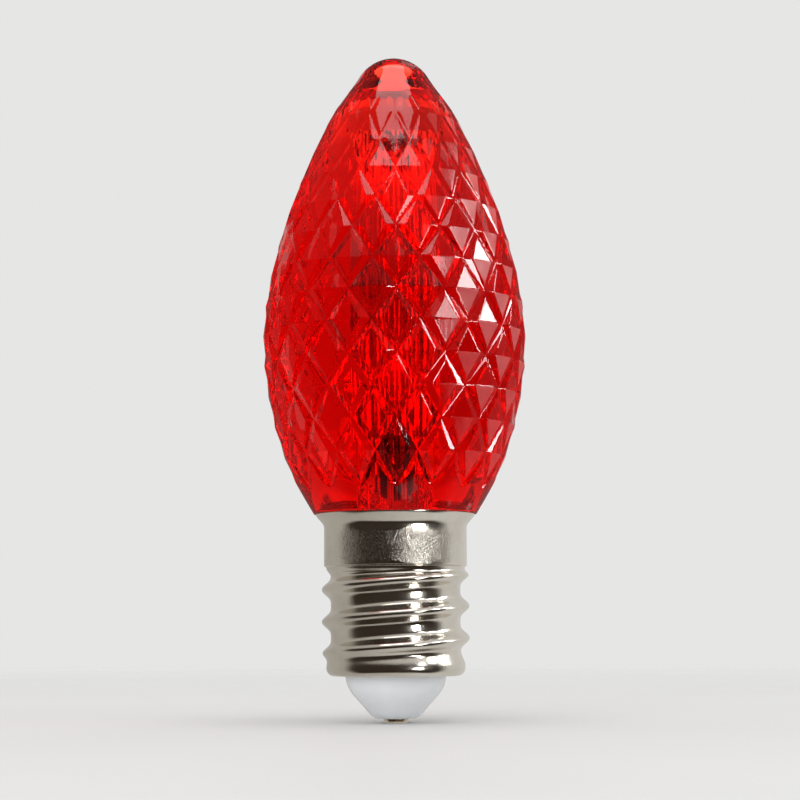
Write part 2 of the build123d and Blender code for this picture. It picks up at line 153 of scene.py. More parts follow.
def grown(name, tree, values, guides):
    """Runs a Geometry Nodes tree with these values, and returns its result as a plain mesh."""
    piece = as_object(name, bpy.data.meshes.new(name))
    modifier = piece.modifiers.new(name, "NODES")
    modifier.node_group = tree
    for item in tree.interface.items_tree:
        if item.in_out == "INPUT":
            modifier[item.identifier] = values[item.name]
    plain_mesh(piece)
    for guide in guides:
        bpy.data.objects.remove(guide)
    return piece


def face_outwards(piece):
    """Turns every face of a closed mesh outwards."""
    work = bmesh.new()
    work.from_mesh(piece.data)
    bmesh.ops.recalc_face_normals(work, faces=work.faces)
    work.to_mesh(piece.data)
    work.free()
    return piece


def turned_tree():
    """Tree that turns an outline about Z. A point's Y is its share of the rolled thread."""
    tree, given = start_tree("turned_skin", [
        ("Outline", "Object"), ("Steps", "Int"), ("Thread Depth", "Float"),
        ("Thread Pitch", "Float"), ("Crest Height", "Float"), ("Crest Sharpness", "Float"),
        ("Finish", "Material"),
    ])
    outline = wired(tree, "GeometryNodeObjectInfo", {"Object": given["Outline"]}).outputs["Geometry"]
    size = wired(tree, "GeometryNodeAttributeDomainSize", {0: outline}, component="MESH")
    count = size.outputs["Point Count"]
    grid = wired(tree, "GeometryNodeMeshGrid", {
        "Size X": 1.0, "Size Y": 1.0, "Vertices X": given["Steps"], "Vertices Y": count,
    })
    place = wired(tree, "GeometryNodeInputPosition").outputs[0]
    across, along, _ = wired(tree, "ShaderNodeSeparateXYZ", {0: place}).outputs
    turn = calc(tree, "MULTIPLY", calc(tree, "ADD", across, 0.5), 2 * math.pi)
    row = calc(tree, "MULTIPLY", calc(tree, "ADD", along, 0.5), calc(tree, "SUBTRACT", count, 1.0))
    index = wired(tree, "FunctionNodeFloatToInt", {0: row}, rounding_mode="ROUND").outputs[0]
    point = wired(tree, "GeometryNodeSampleIndex", {
        "Geometry": outline, "Value": place, "Index": index,
    }, data_type="FLOAT_VECTOR", domain="POINT").outputs[0]
    radius, share, height = wired(tree, "ShaderNodeSeparateXYZ", {0: point}).outputs
    above_crest = calc(tree, "SUBTRACT", height, given["Crest Height"])
    climb = calc(tree, "DIVIDE", above_crest, given["Thread Pitch"])
    phase = calc(tree, "SUBTRACT", turn, calc(tree, "MULTIPLY_ADD", climb, 2 * math.pi, math.pi))
    second = calc(tree, "SUBTRACT", calc(tree, "COSINE", calc(tree, "MULTIPLY", phase, 2.0)), 1.0)
    wave = calc(tree, "MULTIPLY_ADD", second, given["Crest Sharpness"], calc(tree, "COSINE", phase))
    swell = calc(tree, "MULTIPLY", calc(tree, "MULTIPLY", share, given["Thread Depth"]), 0.5)
    reach = calc(tree, "MULTIPLY_ADD", swell, wave, radius)
    moved = wired(tree, "ShaderNodeCombineXYZ", {
        0: calc(tree, "MULTIPLY", reach, calc(tree, "COSINE", turn)),
        1: calc(tree, "MULTIPLY", reach, calc(tree, "SINE", turn)),
        2: height,
    }).outputs[0]
    wall = wired(tree, "GeometryNodeSetPosition", {0: grid.outputs["Mesh"], "Position": moved})
    end_tree(tree, wall.outputs[0], given["Finish"], True)
    return tree


turned_skin = turned_tree()


def turned(name, outline, finish, steps=192, depth=0.0, pitch=1.0, crest=0.0):
    """Closed skin of revolution from an outline of (radius, height, share of the thread)."""
    points = [(point[0], point[2] if len(point) > 2 else 0.0, point[1]) for point in outline]
    guide = guide_points(name + "_outline", points)
    piece = grown(name, turned_skin, {
        "Outline": guide, "Steps": steps + 1, "Thread Depth": depth, "Thread Pitch": pitch,
        "Crest Height": crest, "Crest Sharpness": crest_sharpness, "Finish": finish,
    }, [guide])
    return face_outwards(piece)


def arc(centre_radius, centre_z, radius, start, end, steps):
    """Points of an arc in the outline plane, by its angles above the outward direction."""
    angles = [math.radians(start + (end - start) * i / steps) for i in range(steps + 1)]
    return [(centre_radius + radius * math.cos(a), centre_z + radius * math.sin(a)) for a in angles]


def smooth_line(points, start, end, steps):
    """Smooth curve through the points, from one end direction to the other."""
    places = np.array(points)
    chords = np.linalg.norm(np.diff(places, axis=0), axis=1)
    count = len(places)
    matrix = np.zeros((count, count))
    right = np.zeros((count, 2))
    matrix[0, 0] = matrix[-1, -1] = 1.0
    right[0] = np.array(start) / math.hypot(*start)
    right[-1] = np.array(end) / math.hypot(*end)
    for i in range(1, count - 1):
        before, after = chords[i - 1], chords[i]
        matrix[i, i - 1], matrix[i, i], matrix[i, i + 1] = after, 2 * (before + after), before
        rise_before = (places[i] - places[i - 1]) / before
        rise_after = (places[i + 1] - places[i]) / after
        right[i] = 3 * (rise_before * after + rise_after * before)
    slopes = np.linalg.solve(matrix, right)
    line = []
    for i in range(count - 1):
        for t in np.arange(steps) / steps:
            start_share, end_share = (1 + 2 * t) * (1 - t) ** 2, t * t * (3 - 2 * t)
            line.append(
                start_share * places[i] + end_share * places[i + 1]
                + chords[i] * (t * (1 - t) ** 2 * slopes[i] + t * t * (t - 1) * slopes[i + 1])
            )
    line.append(places[-1])
    return [tuple(point) for point in line]


def grain_group():
    """Shader group with two sizes of grain on Object coordinates: a soft cloud and a fine grain."""
    tree = bpy.data.node_groups.new("surface_grain", "ShaderNodeTree")
    for label, kind, value in (
        ("Coarse Scale", "Float", 400.0), ("Fine Scale", "Float", 3000.0), ("Stretch", "Vector", (1, 1, 1)),
    ):
        socket = tree.interface.new_socket(label, in_out="INPUT", socket_type="NodeSocket" + kind)
        socket.default_value = value
    for label in ("Cloud", "Grain"):
        tree.interface.new_socket(label, in_out="OUTPUT", socket_type="NodeSocketFloat")
    given = tree.nodes.new("NodeGroupInput").outputs
    place = wired(tree, "ShaderNodeTexCoord").outputs["Object"]
    stretched = wired(tree, "ShaderNodeVectorMath", {0: place, 1: given["Stretch"]}, operation="MULTIPLY")
    end = tree.nodes.new("NodeGroupOutput")
    for i, label in enumerate(("Coarse Scale", "Fine Scale")):
        noise = wired(tree, "ShaderNodeTexNoise", {
            "Vector": stretched.outputs[0], "Scale": given[label], "Detail": 3.0, "Roughness": 0.55,
        })
        tree.links.new(noise.outputs[0], end.inputs[i])
    return tree


surface_grain = grain_group()


def start_material(name, colour, roughness, **principled):
    """New material with one Principled shader, with its plain values set on its own sockets."""
    material = bpy.data.materials.new(name)
    material.use_nodes = True
    material.node_tree.nodes.clear()
    tree = material.node_tree
    shader = wired(tree, "ShaderNodeBsdfPrincipled", {"Base Color": (*colour, 1), "Roughness": roughness})
    for label, value in principled.items():
        shader.inputs[label.replace("_", " ").title().replace("Ior", "IOR")].default_value = value
    end = wired(tree, "ShaderNodeOutputMaterial", {"Surface": shader.outputs[0]})
    return material, tree, shader, end


def add_grain(tree, coarse, fine, stretch=(1, 1, 1)):
    """Places the grain group in a material, and returns its cloud and its grain."""
    grain = tree.nodes.new("ShaderNodeGroup")
    grain.node_tree = surface_grain
    grain.inputs["Coarse Scale"].default_value = coarse
    grain.inputs["Fine Scale"].default_value = fine
    grain.inputs["Stretch"].default_value = stretch
    return grain.outputs


def spread(tree, value, low, high, to_low, to_high):
    """Maps a range of a value to another, smoothly and clamped, as an output."""
    return wired(tree, "ShaderNodeMapRange", {
        "Value": value, "From Min": low, "From Max": high, "To Min": to_low, "To Max": to_high,
    }, interpolation_type="SMOOTHSTEP").outputs[0]


def colour_mix(tree, factor, first, second):
    """Mixes two colours by a factor, as an output."""
    mixer = wired(tree, "ShaderNodeMix", {
        0: factor, 6: (*first, 1) if isinstance(first, tuple) else first,
        7: (*second, 1) if isinstance(second, tuple) else second,
    }, data_type="RGBA")
    return mixer.outputs[2]


def add_bump(tree, shader, height, strength, distance):
    """Feeds a height to the shader's normal."""
    bump = wired(tree, "ShaderNodeBump", {"Height": height, "Strength": strength, "Distance": distance})
    tree.links.new(bump.outputs[0], shader.inputs["Normal"])


def nickel_plate():
    """Warm nickel, sandy on the front of the collar, with faint orange peel elsewhere. The sand's pits get
    painted shade: their colour is darkened in specks.
    """
    material, tree, shader, _ = start_material(
        "nickel_plate", nickel_light, nickel_roughness[0], metallic=1.0)
    cloud, grain = add_grain(tree, 420.0, 5200.0)
    place = wired(tree, "ShaderNodeTexCoord").outputs["Object"]
    _, away, height = wired(tree, "ShaderNodeSeparateXYZ", {0: place}).outputs
    above = spread(tree, height, *sand_foot_fade, 0.0, 1.0)
    below = spread(tree, height, *sand_head_fade, 1.0, 0.0)
    front = spread(tree, away, *sand_front_fade, 1.0, 0.0)
    sandy = calc(tree, "MULTIPLY", calc(tree, "MULTIPLY", above, below), front)
    sand = wired(tree, "ShaderNodeTexNoise", {
        "Vector": place, "Scale": sand_scale, "Detail": 2.0, "Roughness": 0.7,
    }).outputs[0]
    tint = colour_mix(tree, spread(tree, cloud, *nickel_patch_edge, 0.0, 1.0), nickel_light, nickel_dark)
    # Painted shade: dark specks in the sand's pits, where the grain's shade falls, mixed into the colour.
    painted_pit_shade = calc(tree, "MULTIPLY", sandy, spread(tree, sand, 0.48, 0.60, 0.0, 0.85))
    tree.links.new(colour_mix(tree, painted_pit_shade, tint, nickel_pit_shade), shader.inputs["Base Color"])
    plain = spread(tree, cloud, *cloud_span, *nickel_roughness)
    tree.links.new(calc(tree, "MULTIPLY_ADD", sandy, sand_roughness, plain), shader.inputs["Roughness"])
    relief = calc(tree, "MULTIPLY_ADD", grain, orange_peel_share, calc(tree, "MULTIPLY", sandy, sand))
    add_bump(tree, shader, relief, 1.0, sand_depth)
    return material


def thread_share(height):
    """How far the thread stands out at a height, from 0 at its ends to 1."""
    above_foot = (height - thread_bottom_z) / thread_foot_runout
    below_head = (thread_top_z - height) / thread_head_runout
    return math.sin(max(min(above_foot, below_head, 1), 0) * math.pi / 2) ** 2


def shell_side(inset):
    """Outline of one side of the sheet, from the lip up to the rim."""
    bend = lip_bend_radius - inset
    side = [(lip_hole_radius, shell_low.z + inset)]
    side += arc(mean_radius - inset - bend, thread_bottom_z, bend, -90, 0, bend_rows)
    for i in range(1, thread_rows + 1):
        height = thread_bottom_z + (thread_top_z - thread_bottom_z) * i / thread_rows
        side.append((mean_radius - inset, height, thread_share(height)))
    rise = [(mean_radius - inset, thread_top_z), (collar_radius - inset, collar_bottom_z)]
    side += smooth_line(rise, (0, 1), (0, 1), bend_rows)[1:]
    flare = [(collar_radius - inset, rim_top_z - rim_flare_height), (rim_radius - inset, rim_top_z)]
    side += smooth_line(flare, (0, 1), rim_lean, flare_rows)
    return side


shell_outline = shell_side(0.0) + shell_side(shell_wall)[::-1]
shell_outline.append(shell_outline[0])
screw_shell = turned(
    "nickel_screw_shell", shell_outline, nickel_plate(), shell_steps,
    depth=thread_depth, pitch=thread_pitch, crest=crest_on_left_z,
)
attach(screw_shell, "root")
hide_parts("screw_shell")


# Insulator: a plug moulded in glossy white plastic. Its flange sits on the lip of the shell,
# and its cone carries the centre contact.
insulator_top_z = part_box("insulator")[1].z
insulator_neck_radius = lip_hole_radius - 0.1 * mm
insulator_flange_radius = mean_radius - thread_depth / 2 - shell_wall - 0.06 * mm
insulator_seat_z = shell_low.z + shell_wall
insulator_face_radius = 1.45 * mm
cone_shape = ((2.45 * mm, 1.12 * mm), (3.32 * mm, 2.1 * mm), (3.87 * mm, 3.0 * mm))
cone_foot_lean = (1, 0.1)
cone_neck_lean = (0.1, 1)
cone_rows = 10
contact_thickness = 0.34 * mm
wire_hole_radius = 0.62 * mm
shank_radius = 0.5 * mm
shank_top_z = 2.04 * mm


def mottled(name, first, second, roughness, coarse, fine, depth, bump=0.3, **principled):
    """Material with two tints in soft patches, uneven gloss and a fine bump."""
    material, tree, shader, _ = start_material(name, first, roughness[0], **principled)
    cloud, grain = add_grain(tree, coarse, fine)
    tint = colour_mix(tree, spread(tree, cloud, *patch_edge, 0.0, 1.0), first, second)
    tree.links.new(tint, shader.inputs["Base Color"])
    tree.links.new(spread(tree, cloud, *cloud_span, *roughness), shader.inputs["Roughness"])
    add_bump(tree, shader, grain, bump, depth)
    return material


white_plastic = mottled(
    "white_plastic", (0.80, 0.82, 0.845), (0.75, 0.77, 0.80), roughness=(0.10, 0.20),
    coarse=260.0, fine=1800.0, depth=0.01 * mm, bump=0.15,
    ior=1.5, coat_weight=0.3, coat_roughness=0.05)
cone_points = [
    (insulator_face_radius, contact_thickness), *cone_shape, (insulator_neck_radius, shell_low.z),
]
insulator_outline = [(shank_radius, contact_thickness)]
insulator_outline += smooth_line(cone_points, cone_foot_lean, cone_neck_lean, cone_rows)
insulator_outline += [
    (insulator_neck_radius, insulator_seat_z),
    (insulator_flange_radius, insulator_seat_z),
    (insulator_flange_radius, insulator_top_z),
    (wire_hole_radius, insulator_top_z),
    (wire_hole_radius, shank_top_z),
    (shank_radius, shank_top_z),
    (shank_radius, contact_thickness),
]
insulator = turned("white_insulator", insulator_outline, white_plastic)
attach(insulator, "root")
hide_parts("insulator")


# Centre contact: a small plated eyelet with a slight yellow cast, pressed through the insulator
# and closed with solder.
contact_radius = 1.0 * mm
contact_flat_radius = 0.8 * mm
contact_bore_radius = 0.26 * mm
contact_edge_rows = 8
contact_steps = 96

plated_contact = mottled(
    "plated_contact", (0.72, 0.66, 0.54), (0.62, 0.52, 0.38), roughness=(0.16, 0.34),
    coarse=900.0, fine=5000.0, depth=0.01 * mm, bump=0.25, metallic=1.0)
contact_edge = [(contact_flat_radius, 0.0), (contact_radius, contact_thickness)]
contact_outline = [(contact_bore_radius, 0.0)]
contact_outline += smooth_line(contact_edge, (1, 0), (0, 1), contact_edge_rows)
contact_outline += [
    (shank_radius, contact_thickness), (shank_radius, shank_top_z),
    (contact_bore_radius, shank_top_z), (contact_bore_radius, 0.0),
]
contact = turned("contact_eyelet", contact_outline, plated_contact, contact_steps)
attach(contact, "root")
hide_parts("centre_contact")


# Solder and wires: the tinned leads that tie the boards to the shell and to the contact, with
# a woven sleeve on the one to the contact, and the solder that holds them.
def paint(material, *names):
    """Gives CAD nodes their finish."""
    for name in names:
        nodes[name].data.materials.clear()
        nodes[name].data.materials.append(material)


solder = mottled(
    "solder", (0.62, 0.62, 0.63), (0.48, 0.48, 0.50), roughness=(0.18, 0.4),
    coarse=900.0, fine=4000.0, depth=0.02 * mm, metallic=1.0)
paint(solder, "contact_solder", "lead_solder_1", "lead_solder_2", "shell_solder", "board_solder")
tinned_wire = mottled(
    "tinned_wire", (0.66, 0.65, 0.62), (0.55, 0.53, 0.50), roughness=(0.2, 0.35),
    coarse=900.0, fine=5000.0, depth=0.01 * mm, metallic=1.0)
paint(tinned_wire, "contact_wire", "shell_wire")
wire_sleeve = mottled(
    "wire_sleeve", (0.82, 0.80, 0.76), (0.74, 0.71, 0.66), roughness=(0.35, 0.5),
    coarse=700.0, fine=4000.0, depth=0.01 * mm)
paint(wire_sleeve, "contact_sleeve")


# Boards and components: a round lamp board on top of an upright driver board, with the
# rectifier, the capacitor and the dropping resistors soldered to it.
circuit_board = mottled(
    "circuit_board", (0.80, 0.79, 0.76), (0.72, 0.71, 0.68), roughness=(0.25, 0.4),
    coarse=500.0, fine=4000.0, depth=0.01 * mm)
paint(circuit_board, "driver_board", "lamp_board")
capacitor_can = mottled(
    "capacitor_can", (0.62, 0.62, 0.64), (0.50, 0.50, 0.53), roughness=(0.25, 0.4),
    coarse=600.0, fine=4000.0, depth=0.01 * mm, metallic=1.0)
paint(capacitor_can, "smoothing_capacitor")
resistor_ceramic = mottled(
    "resistor_ceramic", (0.03, 0.03, 0.035), (0.06, 0.06, 0.065), roughness=(0.4, 0.6),
    coarse=700.0, fine=4000.0, depth=0.01 * mm)
paint(resistor_ceramic, "dropping_resistor_1", "dropping_resistor_2")
dark_plastic = mottled(
    "dark_plastic", (0.02, 0.018, 0.02), (0.035, 0.03, 0.032), roughness=(0.3, 0.5),
    coarse=500.0, fine=3000.0, depth=0.02 * mm)
paint(dark_plastic, "bridge_rectifier")


# Light-emitting diode: a clear epoxy dome over two stamped leads and a chip. It stands in a
# holder of dark plastic on the lamp board. The capacitor's leads are tinned as the diode's are.
holder_plastic = mottled(
    "holder_plastic", (0.06, 0.05, 0.055), (0.04, 0.034, 0.036), roughness=(0.3, 0.5),
    coarse=500.0, fine=3000.0, depth=0.02 * mm)
paint(holder_plastic, "diode_holder")
tinned_lead = mottled(
    "tinned_lead", (0.60, 0.59, 0.57), (0.48, 0.46, 0.44), roughness=(0.2, 0.35),
    coarse=900.0, fine=5000.0, depth=0.01 * mm, metallic=1.0)
paint(tinned_lead, "anvil_lead", "post_lead", "capacitor_leads")
semiconductor = mottled(
    "semiconductor", (0.10, 0.09, 0.02), (0.06, 0.05, 0.02), roughness=(0.3, 0.4),
    coarse=3000.0, fine=9000.0, depth=0.005 * mm)
paint(semiconductor, "diode_chip")


def clear_epoxy():
    """Water-clear resin with faint flow lines."""
    material, tree, shader, _ = start_material(
        "clear_epoxy", (0.97, 0.97, 0.95), 0.03, ior=1.53, transmission_weight=1.0)
    cloud, _ = add_grain(tree, 700.0, 3000.0)
    tint = colour_mix(
        tree, spread(tree, cloud, *patch_edge, 0.0, 1.0), (0.97, 0.97, 0.95), (0.93, 0.93, 0.90))
    tree.links.new(tint, shader.inputs["Base Color"])
    tree.links.new(spread(tree, cloud, *cloud_span, 0.02, 0.08), shader.inputs["Roughness"])
    add_bump(tree, shader, cloud, 0.1, 0.02 * mm)
    return material


paint(clear_epoxy(), "diode_body")


# Faceted lens: one thick moulding of clear red plastic. Staggered diamond facets cover it
# between a smooth neck and a round tip, and a fluted bore runs up its middle.
lens_low, lens_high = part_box("faceted_lens")
lens_tip_z = lens_high.z
lens_radius = 10.63 * mm
widest_z = rim_top_z + 13.9 * mm
lens_foot_radius = 6.5 * mm
dome_radius = 3.3 * mm
dome_depth = 1.6 * mm
spigot_radius = 5.13 * mm
spigot_chamfer = 0.25 * mm
upper_flank_shape = ((0.456, 0.865), (0.622, 0.705), (0.777, 0.521), (0.919, 0.293))
lower_flank_shape = ((0.943, 0.386), (0.842, 0.664), (0.710, 0.872))
flank_rows = 12
dome_rows = 20
outline_steps = 288

facet_columns = 17
first_level = -2
level_floor = -1
last_deep_level = 11
last_level = 15
half_row = 2.465 * mm
lowest_ridge_z = rim_top_z + 4.47 * mm
ridge_share = 0.56
flat_share = 0.76
valley_depth_belly = 0.30 * mm
valley_depth_tip = 0.02 * mm
valley_depth_power = 4
facet_inset = 0.03 * mm
facet_relief = 1.0 * mm
foot_relief = 0.12 * mm
tip_relief = 0.25 * mm
pattern_end_radius = 0.3 * mm
pattern_turn = math.radians(1.1)
valley_round = 0.09 * mm
ridge_round_share = 0.9
round_segments = 3
round_bottom_z = rim_top_z + 1.5 * mm
round_top_z = lens_tip_z - 0.5 * mm

lens_tint_light = (1.0, 0.64, 0.56)
lens_tint_dark = (1.0, 0.56, 0.49)
lens_depth_colour = (0.98, 0.30, 0.13)
lens_depth_density = 600.0
mould_streak = (1, 1, 0.12)
polished_roughness = (0.0, 0.05)
matt_roughness = (0.68, 0.88)
matt_strength = 0.75
matt_height_fade = (lens_tip_z - 10.5 * mm, lens_tip_z - 4.5 * mm)
matt_side_fade = (2.0 * mm, 7.0 * mm)
seam_width_fade = (0.02 * mm, 0.07 * mm)
seam_front_fade = (-2.6 * mm, -2.4 * mm)
seam_height = 0.7
ripple_height = 0.26
wrinkle_height = 0.9

dome_join_z = lens_tip_z - dome_depth
dome_join_radius = math.sqrt(dome_radius ** 2 - (dome_radius - dome_depth) ** 2)
flank_points = [(dome_join_radius, dome_join_z)]
for radius_share, height_share in upper_flank_shape:
    flank_points.append((lens_radius * radius_share, widest_z + (dome_join_z - widest_z) * height_share))
flank_points.append((lens_radius, widest_z))
for radius_share, height_share in lower_flank_shape:
    flank_points.append((lens_radius * radius_share, widest_z - (widest_z - rim_top_z) * height_share))
flank_points.append((lens_foot_radius, rim_top_z))
foot_direction = (lens_foot_radius - flank_points[-2][0], rim_top_z - flank_points[-2][1])
dome_direction = (dome_radius - dome_depth, -dome_join_radius)
flank = smooth_line(flank_points, dome_direction, foot_direction, flank_rows)
flank_heights = [point[1] for point in flank[::-1]]
flank_radii = [point[0] for point in flank[::-1]]


def outline_radius(height):
    """Radius of the smooth outline of the lens at a height."""
    return float(np.interp(height, flank_heights, flank_radii))


def level_point(level):
    """Ridge radius, depth of the crossings below it, and height of one level of the pattern.

    Under level_floor the net stands clear of the neck, which the smooth outline cuts from it.
    """
    height = lowest_ridge_z + level * half_row
    if level < level_floor:
        return lens_foot_radius + facet_relief, 0.0, lens_low.z - facet_relief * (level_floor - level)
    radius = outline_radius(height) - facet_inset + tip_relief * min(max(level - last_deep_level, 0), 1)
    if height > dome_join_z:
        tip_slope = (outline_radius(dome_join_z - half_row) - dome_join_radius) / half_row
        radius = max(dome_join_radius - (height - dome_join_z) * tip_slope, pattern_end_radius)
    full = (radius / lens_radius) ** valley_depth_power
    depth = min(valley_depth_tip + (valley_depth_belly - valley_depth_tip) * full, radius / 2)
    if level < 0:
        return radius + facet_inset + foot_relief, depth + facet_inset + foot_relief, height
    return radius, depth, height


def facet_tree():
    """Tree that lays one diamond in staggered rows and wraps the net round the lens."""
    tree, given = start_tree("diamond_net", [
        ("Diamond", "Object"), ("Levels", "Object"), ("Columns", "Int"), ("Rows", "Int"),
        ("Turn", "Float"), ("Finish", "Material"),
    ])
    half_columns = calc(tree, "DIVIDE", calc(tree, "SUBTRACT", given["Columns"], 1.0), 2.0)
    half_rows = calc(tree, "DIVIDE", calc(tree, "SUBTRACT", given["Rows"], 1.0), 2.0)
    grid = wired(tree, "GeometryNodeMeshGrid", {
        "Size X": calc(tree, "SUBTRACT", given["Columns"], 1.0),
        "Size Y": calc(tree, "SUBTRACT", given["Rows"], 1.0),
        "Vertices X": given["Columns"], "Vertices Y": given["Rows"],
    })
    place = wired(tree, "GeometryNodeInputPosition").outputs[0]
    column, row, _ = wired(tree, "ShaderNodeSeparateXYZ", {0: place}).outputs
    odd = calc(tree, "MODULO", calc(tree, "ROUND", calc(tree, "ADD", row, half_rows)), 2.0)
    shift = wired(tree, "ShaderNodeCombineXYZ", {0: calc(tree, "MULTIPLY", odd, 0.5)}).outputs[0]
    staggered = wired(tree, "GeometryNodeSetPosition", {0: grid.outputs["Mesh"], "Offset": shift})
    diamond = wired(tree, "GeometryNodeObjectInfo", {"Object": given["Diamond"]}).outputs["Geometry"]
    tiles = wired(tree, "GeometryNodeInstanceOnPoints", {"Points": staggered.outputs[0], "Instance": diamond})
    net = wired(tree, "GeometryNodeRealizeInstances", {0: tiles.outputs[0]})
    levels = wired(tree, "GeometryNodeObjectInfo", {"Object": given["Levels"]}).outputs["Geometry"]
    column, row, sunk = wired(tree, "ShaderNodeSeparateXYZ", {0: place}).outputs
    above = calc(tree, "ADD", calc(tree, "ADD", row, half_rows), 1.0)
    nearest = []
    for offset in (0.0, 1.0):
        shifted = calc(tree, "ADD", above, offset)
        index = wired(tree, "FunctionNodeFloatToInt", {0: shifted}, rounding_mode="FLOOR").outputs[0]
        nearest.append(wired(tree, "GeometryNodeSampleIndex", {
            "Geometry": levels, "Value": place, "Index": index,
        }, data_type="FLOAT_VECTOR", domain="POINT").outputs[0])
    level = wired(tree, "ShaderNodeMix", {
        0: calc(tree, "FRACT", above), 4: nearest[0], 5: nearest[1],
    }, data_type="VECTOR").outputs[1]
    radius, depth, height = wired(tree, "ShaderNodeSeparateXYZ", {0: level}).outputs
    reach = calc(tree, "MULTIPLY_ADD", sunk, depth, radius)
    count = calc(tree, "ADD", column, half_columns)
    around = calc(tree, "DIVIDE", count, given["Columns"])
    turn = calc(tree, "MULTIPLY_ADD", around, 2 * math.pi, given["Turn"])
    wrapped = wired(tree, "ShaderNodeCombineXYZ", {
        0: calc(tree, "MULTIPLY", reach, calc(tree, "SINE", turn)),
        1: calc(tree, "MULTIPLY", reach, calc(tree, "MULTIPLY", calc(tree, "COSINE", turn), -1.0)),
        2: height,
    }).outputs[0]
    skin = wired(tree, "GeometryNodeSetPosition", {0: net.outputs[0], "Position": wrapped})
    end_tree(tree, skin.outputs[0], given["Finish"], False)
    return tree


def one_diamond():
    """One diamond: two flats that meet at a level ridge, and four walls down to the valleys.

    X is in columns, Y in levels, and Z is -1 where the diamond is sunk. The lower flat is marked,
    because the mould left it wrinkled and partly matt.
    """
    half = ridge_share / 2
    rise = half / (0.5 - half)
    flat_end = rise - (1 + rise) * flat_share
    corners = [
        (-0.5, 0, -1), (-half, 0, 0), (half, 0, 0), (0.5, 0, -1), (0, 1, -1), (0, -1, -1),
        (0, flat_share, flat_end), (0, -flat_share, flat_end),
    ]
    lower_flat = (2, 1, 7)
    facets = [(1, 2, 6), lower_flat, (2, 3, 4, 6), (3, 2, 7, 5), (0, 1, 6, 4), (1, 0, 5, 7)]
    valley_ends = {0, 3, 4, 5}
    crossings = {4, 5}
    mesh = bpy.data.meshes.new("diamond")
    mesh.from_pydata(corners, [], facets)
    rounding = mesh.attributes.new("bevel_weight_edge", "FLOAT", "EDGE")
    for edge in mesh.edges:
        ends = set(edge.vertices)
        if ends <= valley_ends:
            rounding.data[edge.index].value = 1.0
        elif not ends & crossings:
            rounding.data[edge.index].value = ridge_round_share
    mark = mesh.attributes.new("lower_facet", "FLOAT", "FACE")
    mark.data[facets.index(lower_flat)].value = 1.0
    return as_object("diamond", mesh)


def red_lens():
    """Deep red clear plastic. Its colour comes from the depth of the moulding."""
    material, tree, shader, end = start_material(
        "red_lens", lens_tint_light, 0.03, ior=1.5, transmission_weight=1.0)
    depth = wired(tree, "ShaderNodeVolumeAbsorption", {
        "Color": (*lens_depth_colour, 1), "Density": lens_depth_density,
    })
    tree.links.new(depth.outputs[0], end.inputs["Volume"])
    cloud, grain = add_grain(tree, 500.0, 3300.0, mould_streak)
    tint = colour_mix(tree, spread(tree, cloud, *patch_edge, 0.0, 1.0), lens_tint_light, lens_tint_dark)
    tree.links.new(tint, shader.inputs["Base Color"])
    place = wired(tree, "ShaderNodeTexCoord").outputs["Object"]
    across, away, height = wired(tree, "ShaderNodeSeparateXYZ", {0: place}).outputs
    lower = wired(tree, "ShaderNodeAttribute", attribute_name="lower_facet").outputs["Fac"]
    below = spread(tree, height, *matt_height_fade, 1.0, 0.0)
    beside = spread(tree, across, *matt_side_fade, 0.0, matt_strength)
    matt = calc(tree, "MULTIPLY", calc(tree, "MULTIPLY", lower, below), beside)
    frosted = spread(tree, grain, 0.35, 0.65, *matt_roughness)
    polished = spread(tree, cloud, 0.58, 0.75, *polished_roughness)
    tree.links.new(calc(tree, "MULTIPLY_ADD", matt, frosted, polished), shader.inputs["Roughness"])
    off_seam = calc(tree, "ABSOLUTE", calc(tree, "MULTIPLY_ADD", away, math.tan(pattern_turn), across))
    line = spread(tree, off_seam, *seam_width_fade, seam_height, 0.0)
    seam = calc(tree, "MULTIPLY", line, spread(tree, away, *seam_front_fade, 1.0, 0.0))
    wrinkles = calc(tree, "MULTIPLY_ADD", lower, wrinkle_height, ripple_height)
    add_bump(tree, shader, calc(tree, "MULTIPLY_ADD", grain, wrinkles, seam), 0.5, 0.02 * mm)
    return material


def cut(piece, tool, operation):
    """Cuts a piece with a closed tool, which is then removed."""
    modifier = piece.modifiers.new(operation, "BOOLEAN")
    modifier.operation = operation
    modifier.solver = "MANIFOLD"
    modifier.object = tool
    plain_mesh(piece)
    bpy.data.objects.remove(tool)


def close_net(piece):
    """Closes the net of facets at both ends, and marks only its visible edges for rounding."""
    work = bmesh.new()
    work.from_mesh(piece.data)
    open_edges = [edge for edge in work.edges if edge.is_boundary]
    lids = bmesh.ops.holes_fill(work, edges=open_edges, sides=0)["faces"]
    bmesh.ops.triangulate(work, faces=lids)
    bmesh.ops.recalc_face_normals(work, faces=work.faces)
    weight = work.edges.layers.float["bevel_weight_edge"]
    for edge in work.edges:
        if not all(round_bottom_z < corner.co.z < round_top_z for corner in edge.verts):
            edge[weight] = 0.0
    work.to_mesh(piece.data)
    work.free()


def round_edges(piece):
    """Rounds the marked edges, valleys in full and ridges a little less."""
    rounding = piece.modifiers.new("rounding", "BEVEL")
    rounding.limit_method = "WEIGHT"
    rounding.width = valley_round
    rounding.segments = round_segments
    rounding.use_clamp_overlap = False
    plain_mesh(piece)


lens_red = red_lens()
diamond = one_diamond()
level_guide = guide_points("levels", [level_point(k) for k in range(first_level - 1, last_level + 2)])
lens = grown("faceted_red_lens", facet_tree(), {
    "Diamond": diamond, "Levels": level_guide, "Columns": facet_columns,
    "Rows": last_level - first_level + 1, "Turn": pattern_turn, "Finish": lens_red,
}, [diamond, level_guide])
close_net(lens)
round_edges(lens)

